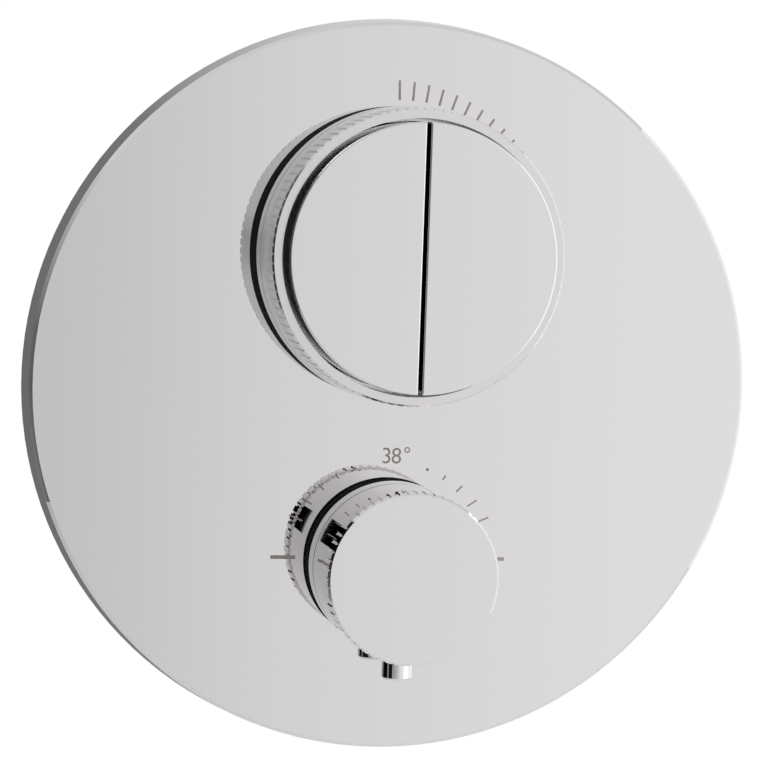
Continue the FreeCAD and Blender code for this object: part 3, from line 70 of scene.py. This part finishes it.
# %% [markdown]
# ## A shader group for fine wear
# Polished, machined and moulded surfaces all carry faint wear: the gloss varies a little from
# place to place, and hairlines catch the light. A painted texture would need an unwrapped
# mesh, so noise in object space is used instead. The group is built once, and every material
# places it with its own size and strength.

# %% Group: fine wear
HAIRLINE_RATIO = 14.0
GRIME = (0.35, 0.33, 0.30, 1.0)


def add_socket(group, name, kind, value=None, output=False):
    socket = group.interface.new_socket(name=name, in_out="OUTPUT" if output else "INPUT",
                                        socket_type=kind)
    if value is not None:
        socket.default_value = value
    return socket


def fine_wear_group():
    group = bpy.data.node_groups.new("fine_wear", "ShaderNodeTree")
    add_socket(group, "Size", "NodeSocketFloat", 60.0)
    add_socket(group, "Roughness", "NodeSocketFloat", 0.05)
    add_socket(group, "Wear", "NodeSocketFloat", 0.03)
    add_socket(group, "Color", "NodeSocketColor", (0.8, 0.8, 0.8, 1.0))
    add_socket(group, "Dirt", "NodeSocketFloat", 0.05)
    add_socket(group, "Color", "NodeSocketColor", output=True)
    add_socket(group, "Roughness", "NodeSocketFloat", output=True)
    add_socket(group, "Height", "NodeSocketFloat", output=True)
    tree, link = group.nodes, group.links.new
    inputs, outputs = tree.new("NodeGroupInput"), tree.new("NodeGroupOutput")
    place = tree.new("ShaderNodeTexCoord")
    broad = tree.new("ShaderNodeTexNoise")
    broad.inputs["Detail"].default_value = 4.0
    fine = tree.new("ShaderNodeTexNoise")
    fine.inputs["Detail"].default_value = 2.0
    finer = tree.new("ShaderNodeMath")
    finer.operation = "MULTIPLY"
    finer.inputs[1].default_value = HAIRLINE_RATIO
    link(inputs.outputs["Size"], broad.inputs["Scale"])
    link(inputs.outputs["Size"], finer.inputs[0])
    link(finer.outputs[0], fine.inputs["Scale"])
    link(place.outputs["Object"], broad.inputs["Vector"])
    link(place.outputs["Object"], fine.inputs["Vector"])
    rough = tree.new("ShaderNodeMath")
    rough.operation = "MULTIPLY_ADD"
    link(broad.outputs["Fac"], rough.inputs[0])
    link(inputs.outputs["Wear"], rough.inputs[1])
    link(inputs.outputs["Roughness"], rough.inputs[2])
    shade = tree.new("ShaderNodeMath")
    shade.operation = "MULTIPLY"
    link(broad.outputs["Fac"], shade.inputs[0])
    link(inputs.outputs["Dirt"], shade.inputs[1])
    tint = tree.new("ShaderNodeMix")
    tint.data_type = "RGBA"
    tint.blend_type = "MULTIPLY"
    tint.inputs["B"].default_value = GRIME
    link(shade.outputs[0], tint.inputs["Factor"])
    link(inputs.outputs["Color"], tint.inputs["A"])
    link(tint.outputs["Result"], outputs.inputs["Color"])
    link(rough.outputs[0], outputs.inputs["Roughness"])
    link(fine.outputs["Fac"], outputs.inputs["Height"])
    return group


FINE_WEAR = fine_wear_group()
print("group", FINE_WEAR.name, "sockets", len(FINE_WEAR.interface.items_tree))


# %% [markdown]
# ## The finishes
# Chrome, brass, steel, rubber, moulded plastic and ceramic differ in colour, metallic share
# and gloss. One helper wires the Principled shader to the wear group, and the finish's own
# uniform values stay on the shader's own sockets.

# %% Helper: a finish
RELIEF_DEPTH = 0.0002


def finish(name, color, roughness, metallic=0.0, wear=0.03, size=60.0, dirt=0.05, bump=0.02,
           specular=0.5):
    material = bpy.data.materials.new(name)
    material.use_nodes = True
    tree, link = material.node_tree.nodes, material.node_tree.links.new
    shader = tree["Principled BSDF"]
    shader.inputs["Metallic"].default_value = metallic
    shader.inputs["Specular IOR Level"].default_value = specular
    wear_node = tree.new("ShaderNodeGroup")
    wear_node.node_tree = FINE_WEAR
    wear_node.inputs["Size"].default_value = size
    wear_node.inputs["Roughness"].default_value = roughness
    wear_node.inputs["Wear"].default_value = wear
    wear_node.inputs["Color"].default_value = (*color, 1.0)
    wear_node.inputs["Dirt"].default_value = dirt
    relief = tree.new("ShaderNodeBump")
    relief.inputs["Strength"].default_value = bump
    relief.inputs["Distance"].default_value = RELIEF_DEPTH
    link(wear_node.outputs["Color"], shader.inputs["Base Color"])
    link(wear_node.outputs["Roughness"], shader.inputs["Roughness"])
    link(wear_node.outputs["Height"], relief.inputs["Height"])
    link(relief.outputs["Normal"], shader.inputs["Normal"])
    print("finish", name, "roughness", roughness, "metallic", metallic)
    return material


# %% [markdown]
# The chrome is nearly a perfect mirror, and a soft chrome blurs what it shows a little. Cast
# brass has the strongest relief, and rubber hardly shines.

# %% Finishes
CHROME = finish("polished_chrome", (0.816, 0.80, 0.80), 0.008, 1.0,
                wear=0.012, dirt=0.0, bump=0.0)
SOFT_CHROME = finish("soft_chrome", (0.80, 0.785, 0.785), 0.17, 1.0,
                     wear=0.04, dirt=0.0, bump=0.0)
BRASS = finish("cast_brass", (0.66, 0.50, 0.26), 0.34, 1.0,
               wear=0.18, size=220.0, dirt=0.35, bump=0.35)
TURNED_BRASS = finish("turned_brass", (0.76, 0.60, 0.33), 0.2, 1.0,
                      wear=0.1, size=300.0, dirt=0.15, bump=0.1)
STEEL = finish("stainless_steel", (0.60, 0.60, 0.61), 0.3, 1.0,
               wear=0.15, size=200.0, dirt=0.12, bump=0.12)
RUBBER = finish("black_rubber", (0.004, 0.004, 0.0045), 0.6, 0.0,
                wear=0.2, size=400.0, dirt=0.2, bump=0.3, specular=0.04)
PLASTIC = finish("black_moulding", (0.035, 0.036, 0.04), 0.4, 0.0,
                 wear=0.15, size=400.0, dirt=0.1, bump=0.2)
CERAMIC = finish("white_ceramic", (0.86, 0.85, 0.81), 0.15, 0.0,
                 wear=0.08, size=150.0, dirt=0.05, bump=0.03)

# %% [markdown]
# ## Every piece gets its finish
# The record names a material slot for each node, so the slot decides the finish. The cast
# body is duller than turned brass, and the chrome of the flow ring and its sleeve is a little
# softer than the mirror polish of the rest.

# %% Dressing the nodes
SLOT_FINISH = {"chrome": CHROME, "brass": TURNED_BRASS, "steel": STEEL,
               "black_rubber": RUBBER, "moulded_plastic": PLASTIC, "ceramic": CERAMIC}
SPECIAL_FINISH = {"valve_body": BRASS, "flow_ring": SOFT_CHROME,
                  "ring_sleeve": SOFT_CHROME}
for part in frame["record"]["subparts"]:
    piece = frame["nodes"][part["node"]]
    material = SPECIAL_FINISH.get(part["node"], SLOT_FINISH[part["material_slot"]])
    piece.data.materials.clear()
    piece.data.materials.append(material)

# %% [markdown]
# ## The printed scales
# Both scales are printed on the plate in a warm grey. They have no thickness that a finger
# feels, so each one is a flat mesh a hair in front of the plate: real printed ink that
# stays sharp from any distance.

# %% Helper: printed ink
INK_FRONT = PLATE_FRONT - 0.00004
INK = finish("scale_ink", (0.40, 0.375, 0.34), 0.45, 0.0,
             wear=0.05, size=900.0, dirt=0.1, bump=0.0, specular=0.3)


def ring_point(centre, centre_rise, reach, turn):
    """A point of the printed plane, reach away from a centre; turn is in radians from +X."""
    return Vector((centre + reach * math.cos(turn), INK_FRONT,
                   centre_rise + reach * math.sin(turn)))


def radial_bar(centre_rise, angle, inner, outer, width):
    """Corners of a bar on the plate; the angle is clockwise from twelve o'clock."""
    turn = math.radians(angle)
    along = Vector((math.sin(turn), 0, math.cos(turn)))
    across = Vector((math.cos(turn), 0, -math.sin(turn)))
    centre = Vector((0, INK_FRONT, centre_rise))
    corners = [(inner, -1), (outer, -1), (outer, 1), (inner, 1)]
    return [centre + along * reach + across * side * width / 2
            for reach, side in corners]


def printed(name, outlines):
    verts, faces = [], []
    for outline in outlines:
        faces.append(list(range(len(verts), len(verts) + len(outline))))
        verts.extend(outline)
    mesh = bpy.data.meshes.new(name)
    mesh.from_pydata([tuple(v) for v in verts], [], faces)
    mesh.materials.append(INK)
    piece = bpy.data.objects.new(name, mesh)
    scene.collection.objects.link(piece)
    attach(piece, "valve")
    print(name, "marks", len(outlines))


# %% [markdown]
# ### The flow scale
# Fifteen ticks stand round the ring, about five degrees apart, from just left of twelve
# o'clock on. They get shorter clockwise, and so show less flow.

# %% The flow scale
FLOW_START, FLOW_STEP = -1.65, 5.1
FLOW_INNER, FLOW_LONGEST, FLOW_SHRINK = 0.0415, 0.0468, 0.00026
FLOW_COUNT, TICK_WIDTH = 15, 0.00062
printed("flow_scale", [
    radial_bar(RING_RISE, FLOW_START + FLOW_STEP * k,
               FLOW_INNER, FLOW_LONGEST - FLOW_SHRINK * k, TICK_WIDTH)
    for k in range(FLOW_COUNT)])

# %% [markdown]
# ### The temperature scale
# Round the knob, a dot and four ticks grow longer on both sides of 38 degrees at the top. A
# thick bar stands at each end of the knob's travel, at nine and three o'clock. The print sits
# a millimetre above the knob's axis.

# %% The temperature scale
SCALE_RISE = KNOB_RISE + 0.001
MARK_STEP, DOT_STEP, MARK_STEPS = 11.25, 2, (3, 4, 5, 6)
MARK_INNER, MARK_SHORTEST, MARK_GROWTH, MARK_WIDTH = 0.0260, 0.0275, 0.00082, 0.00045
BAR_ANGLE, BAR_INNER, BAR_OUTER, BAR_WIDTH = 90, 0.0257, 0.0325, 0.0010
DOT_PLACE, DOT_RADIUS, DOT_SIDES = 0.0264, 0.00045, 20
marks = []
for sign in (-1, 1):
    for k, steps in enumerate(MARK_STEPS):
        marks.append(radial_bar(SCALE_RISE, sign * MARK_STEP * steps, MARK_INNER,
                                MARK_SHORTEST + MARK_GROWTH * k, MARK_WIDTH))
    marks.append(radial_bar(SCALE_RISE, sign * BAR_ANGLE, BAR_INNER, BAR_OUTER, BAR_WIDTH))
    turn = math.radians(sign * DOT_STEP * MARK_STEP)
    across, rise = DOT_PLACE * math.sin(turn), SCALE_RISE + DOT_PLACE * math.cos(turn)
    marks.append([ring_point(across, rise, DOT_RADIUS, math.tau * k / DOT_SIDES)
                  for k in range(DOT_SIDES)])
printed("temperature_scale", marks)

# %% [markdown]
# ### The number
# "38" is a text object, squeezed a little as printed dials often are. It stands centred over
# the knob. DIGIT_SHARE is how much of the type size the font's digits fill.

# %% The number
NUMBER_RISE = KNOB_RISE + 0.0291
DIGIT_HEIGHT, DIGIT_SQUEEZE, DIGIT_SPACING = 0.0043, 0.97, 0.9
DIGIT_SHARE, STROKE_CHANGE = 0.69, -0.00003
curve = bpy.data.curves.new("scale_number", "FONT")
curve.body = "38"
curve.size = DIGIT_HEIGHT / DIGIT_SHARE
curve.align_x = "CENTER"
curve.space_character = DIGIT_SPACING
curve.offset = STROKE_CHANGE
curve.materials.append(INK)
number = bpy.data.objects.new("scale_number", curve)
scene.collection.objects.link(number)
number.location = (0, INK_FRONT, NUMBER_RISE - DIGIT_HEIGHT / 2)
number.rotation_euler = (math.radians(90), 0, 0)
number.scale = (DIGIT_SQUEEZE, 1, 1)
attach(number, "valve")
print("number", curve.body, "height", DIGIT_HEIGHT)

# %% [markdown]
# The degree sign is a ring of small flat quads.

# %% The degree sign
DEGREE_OUTER, DEGREE_INNER, DEGREE_SIDES = 0.00082, 0.00048, 24
DEGREE_PLACE, DEGREE_RISE = 0.0043, NUMBER_RISE + 0.0016
quads = []
for k in range(DEGREE_SIDES):
    start, end = math.tau * k / DEGREE_SIDES, math.tau * (k + 1) / DEGREE_SIDES
    corners = [(DEGREE_OUTER, start), (DEGREE_OUTER, end),
               (DEGREE_INNER, end), (DEGREE_INNER, start)]
    quads.append([ring_point(DEGREE_PLACE, DEGREE_RISE, reach, turn)
                  for reach, turn in corners])
printed("degree_sign", quads)

# %% [markdown]
# ## The studio
# A polished object is lit by what it mirrors, so the studio is built like a tabletop set for
# chrome. The room is white, and the camera, the metal and the rubber's sheen all see that
# white. Softer light falls on matt surfaces, so that pale ones don't burn out.

# %% The white room
SOFT_LIGHT, SEEN_WHITE = 0.7, 1.0
world = bpy.data.worlds.new("studio")
scene.world = world
world.use_nodes = True
tree, link = world.node_tree.nodes, world.node_tree.links.new
room = tree["Background"]
room.inputs["Color"].default_value = (1, 1, 1, 1)
room.inputs["Strength"].default_value = SOFT_LIGHT
white = tree.new("ShaderNodeBackground")
white.inputs["Color"].default_value = (1, 1, 1, 1)
white.inputs["Strength"].default_value = SEEN_WHITE
rays = tree.new("ShaderNodeLightPath")
seen = tree.new("ShaderNodeMath")
seen.operation = "MAXIMUM"
link(rays.outputs["Is Camera Ray"], seen.inputs[0])
link(rays.outputs["Is Glossy Ray"], seen.inputs[1])
seen_or_bent = tree.new("ShaderNodeMath")
seen_or_bent.operation = "MAXIMUM"
link(seen.outputs[0], seen_or_bent.inputs[0])
link(rays.outputs["Is Transmission Ray"], seen_or_bent.inputs[1])
choose = tree.new("ShaderNodeMixShader")
link(seen_or_bent.outputs[0], choose.inputs["Fac"])
link(room.outputs[0], choose.inputs[1])
link(white.outputs[0], choose.inputs[2])
link(choose.outputs[0], tree["World Output"].inputs["Surface"])
print("light of the room", SOFT_LIGHT, "white seen", SEEN_WHITE)


# %% [markdown]
# ### Screens and flags
# Photographers shape chrome with white screens and black flags. Each one here is a curved
# sheet round the valve, placed by its bearing: 0 degrees lies straight in front of the plate,
# and positive bearings lie to the right. The sheet's brightness runs from one value to the
# next across its width. Every panel of this studio is made by one helper.

# %% Helper: a glowing panel
def glow_panel(name, verts, faces, tones):
    """A panel that the camera doesn't see; each corner has its own brightness."""
    mesh = bpy.data.meshes.new(name)
    mesh.from_pydata(verts, [], faces)
    tone = mesh.attributes.new("tone", "FLOAT", "POINT")
    tone.data.foreach_set("value", tones)
    material = bpy.data.materials.new(name)
    material.use_nodes = True
    tree, link = material.node_tree.nodes, material.node_tree.links.new
    tree.remove(tree["Principled BSDF"])
    reader = tree.new("ShaderNodeAttribute")
    reader.attribute_name = "tone"
    glow = tree.new("ShaderNodeEmission")
    link(reader.outputs["Fac"], glow.inputs["Strength"])
    link(glow.outputs[0], tree["Material Output"].inputs["Surface"])
    mesh.materials.append(material)
    panel = bpy.data.objects.new(name, mesh)
    scene.collection.objects.link(panel)
    panel.visible_camera = False
    panel.visible_shadow = False
    print("panel", name, "brightness", round(min(tones), 3), "to", round(max(tones), 3))


# %% [markdown]
# A sheet is bent round the valve. Its brightness can lean, so that the fade slants with
# height, and it can climb towards the upper and lower edges.

# %% Helper: a curved sheet
SHEET_COLUMNS, SHEET_ROWS, LEVEL_PART = 60, 16, 0.15


def brightness_at(stops, bearing):
    for (low_at, low_value), (high_at, high_value) in zip(stops, stops[1:]):
        if bearing <= high_at:
            share = max(0.0, (bearing - low_at) / (high_at - low_at))
            return low_value + (high_value - low_value) * share
    return stops[-1][1]


def sheet(name, radius, low, high, stops, lean=0.0, climb=0.0):
    """Stops are (bearing, brightness) pairs. Lean is in degrees per metre of height, and
    climb multiplies the brightness past LEVEL_PART of a metre above or below the plate."""
    start, end = stops[0][0], stops[-1][0]
    verts, tones = [], []
    for k in range(SHEET_COLUMNS + 1):
        bearing = start + (end - start) * k / SHEET_COLUMNS
        turn = math.radians(bearing)
        for row in range(SHEET_ROWS + 1):
            rise = low + (high - low) * row / SHEET_ROWS
            verts.append((radius * math.sin(turn), -radius * math.cos(turn), rise))
            brighter = 1 + climb * max(0.0, abs(rise) - LEVEL_PART)
            tones.append(brightness_at(stops, bearing + lean * rise) * brighter)
    step = SHEET_ROWS + 1
    faces = [(k * step + row, k * step + row + step, k * step + row + step + 1,
              k * step + row + 1) for k in range(SHEET_COLUMNS) for row in range(SHEET_ROWS)]
    glow_panel(name, verts, faces, tones)


# %% [markdown]
# The front screen fills the plate, and its fade from left to right is the plate's own. The
# softbox gives the bright lines on the right of every round piece, and the flag the black
# ones on the left. The weak band in the flag is what the plate's bevel mirrors, and the
# screen behind is what the plate's rim mirrors.

# %% The sheets
SCREEN_TONES = [(-42, 0.30), (-12, 0.50), (3, 0.665), (8, 0.775), (11, 0.81), (14, 0.84),
                (18, 0.885), (42, 0.97)]
SOFTBOX_TONES = [(43, 1.5), (88, 1.3)]
FLAG_TONES = [(-125, 0.0), (-88, 0.0), (-84, 0.16), (-76, 0.16), (-71, 0.0), (-43, 0.015)]
BEHIND_TONES = [(130, 1.0), (155, 0.9), (166, 0.66), (176, 0.40), (185, 0.20), (205, 0.15),
                (235, 0.12)]
sheet("front_screen", 1.7, -1.1, 1.3, SCREEN_TONES)
sheet("softbox_right", 1.5, -0.8, 1.1, SOFTBOX_TONES)
sheet("flag_left", 1.5, -1.0, 1.3, FLAG_TONES, climb=3.2)
sheet("screen_behind", 1.8, -1.2, 1.5, BEHIND_TONES, lean=-10.0)

# %% [markdown]
# ### The ceiling
# A white room would leave the upward edges pure white. The ceiling is a little darker, so
# those edges stay close to the plate's own tone.

# %% The ceiling
CEILING_RISE, CEILING_HALF, CEILING_TONE = 1.32, 1.8, 0.72
glow_panel("ceiling",
           [(x * CEILING_HALF, y * CEILING_HALF, CEILING_RISE)
            for x, y in ((-1, -1), (1, -1), (1, 1), (-1, 1))],
           [(0, 1, 2, 3)], [CEILING_TONE] * 4)

# %% [markdown]
# ### The lens in the mirror
# Polished metal shows the camera too. The knob's barrel and the plate stand square to each
# other and send the line of sight back beside the camera, so its dark body shows as two
# rounded black patches, one on the barrel and one in the plate. A black card on either side
# of the point of view gives them. The cards bend round the knob's axis, because the knob
# spreads its mirror image round that axis.

# %% The lens cards
EYE = Vector((-0.1707, -0.850, 0.0654))
CARD_NEAR, CARD_FAR, CARD_HALF, CORNER_POWER = 0.0052, 0.022, 17.5, 8
CARD_SPANS = 12
eye_reach = math.hypot(EYE.x, EYE.z - KNOB_RISE)
eye_angle = math.degrees(math.atan2(EYE.z - KNOB_RISE, EYE.x))
for name, side, swing in (("lens_card_out", 1, 12.5), ("lens_card_in", -1, 19.0)):
    verts, faces = [], []
    for k in range(2 * CARD_SPANS + 1):
        share = k / CARD_SPANS - 1
        turn = math.radians(eye_angle + swing + CARD_HALF * share)
        far = CARD_NEAR + (CARD_FAR - CARD_NEAR) * (1 - share ** CORNER_POWER) ** 0.5
        for away in (CARD_NEAR, far):
            reach = eye_reach + side * away
            verts.append((reach * math.cos(turn), EYE.y, KNOB_RISE + reach * math.sin(turn)))
        if k:
            faces.append((2 * k - 2, 2 * k - 1, 2 * k + 1, 2 * k))
    glow_panel(name, verts, faces, [0.0] * len(verts))

# %% [markdown]
# ### The floor
# The valve hangs in a wall in use, so nothing stands on this floor. It is a pale round sweep
# well below the valve, out of the camera's view, and it gives the underside something to
# mirror and to cast a shadow on when the valve is looked at from other sides.

# %% The floor
FLOOR_RISE, FLOOR_RADIUS, FLOOR_SIDES = -0.6, 1.2, 96
bpy.ops.mesh.primitive_circle_add(vertices=FLOOR_SIDES, radius=FLOOR_RADIUS,
                                  fill_type="NGON", location=(0, 0, FLOOR_RISE))
floor = bpy.context.object
floor.name = "floor"
floor_material = bpy.data.materials.new("pale_floor")
floor_material.use_nodes = True
floor_shader = floor_material.node_tree.nodes["Principled BSDF"]
floor_shader.inputs["Base Color"].default_value = (0.86, 0.86, 0.86, 1)
floor_shader.inputs["Roughness"].default_value = 0.9
floor.data.materials.append(floor_material)
print("floor at", FLOOR_RISE, "radius", FLOOR_RADIUS)


# %% [markdown]
# ### The lamps
# Two large soft lamps, one above in front and one above behind, give matt surfaces their
# form: the brass body, the bracket and the black rubber.

# %% The lamps
def soft_lamp(name, place, size, watts):
    light = bpy.data.lights.new(name, "AREA")
    light.size = size
    light.energy = watts
    lamp = bpy.data.objects.new(name, light)
    scene.collection.objects.link(lamp)
    lamp.location = place
    lamp.rotation_euler = (-Vector(place)).to_track_quat("-Z", "Y").to_euler()
    print("lamp", name, watts, "W")


soft_lamp("top_lamp", (0.5, -0.3, 1.5), 1.0, 9.0)
soft_lamp("back_lamp", (-0.7, 1.3, 0.9), 0.9, 7.0)

# %% [markdown]
# ## The camera
# It stands a little left of the plate's axis and looks at it through a long lens, so the
# plate's left rim and both barrels' left sides show.

# %% The camera
YAW, PITCH, ROLL = math.radians(11.33), math.radians(4.31), math.radians(2.0)
FOCAL_PX, FRAME_PX = 3157.0, 768
forward = Vector((math.sin(YAW) * math.cos(PITCH), math.cos(YAW) * math.cos(PITCH),
                  -math.sin(PITCH)))
right = Vector((math.cos(YAW), -math.sin(YAW), 0))
up = right.cross(forward)
tilt_right = right * math.cos(ROLL) + up * math.sin(ROLL)
tilt_up = up * math.cos(ROLL) - right * math.sin(ROLL)
lens = bpy.data.cameras.new("studio_camera")
lens.sensor_width = 36.0
lens.sensor_fit = "HORIZONTAL"
lens.lens = FOCAL_PX / FRAME_PX * lens.sensor_width
lens.clip_start = 0.01
camera = bpy.data.objects.new("studio_camera", lens)
scene.collection.objects.link(camera)
axes = Matrix((tilt_right, tilt_up, -forward)).transposed().to_4x4()
camera.matrix_world = Matrix.Translation(EYE) @ axes
scene.camera = camera
print("lens", round(lens.lens, 2), "mm")
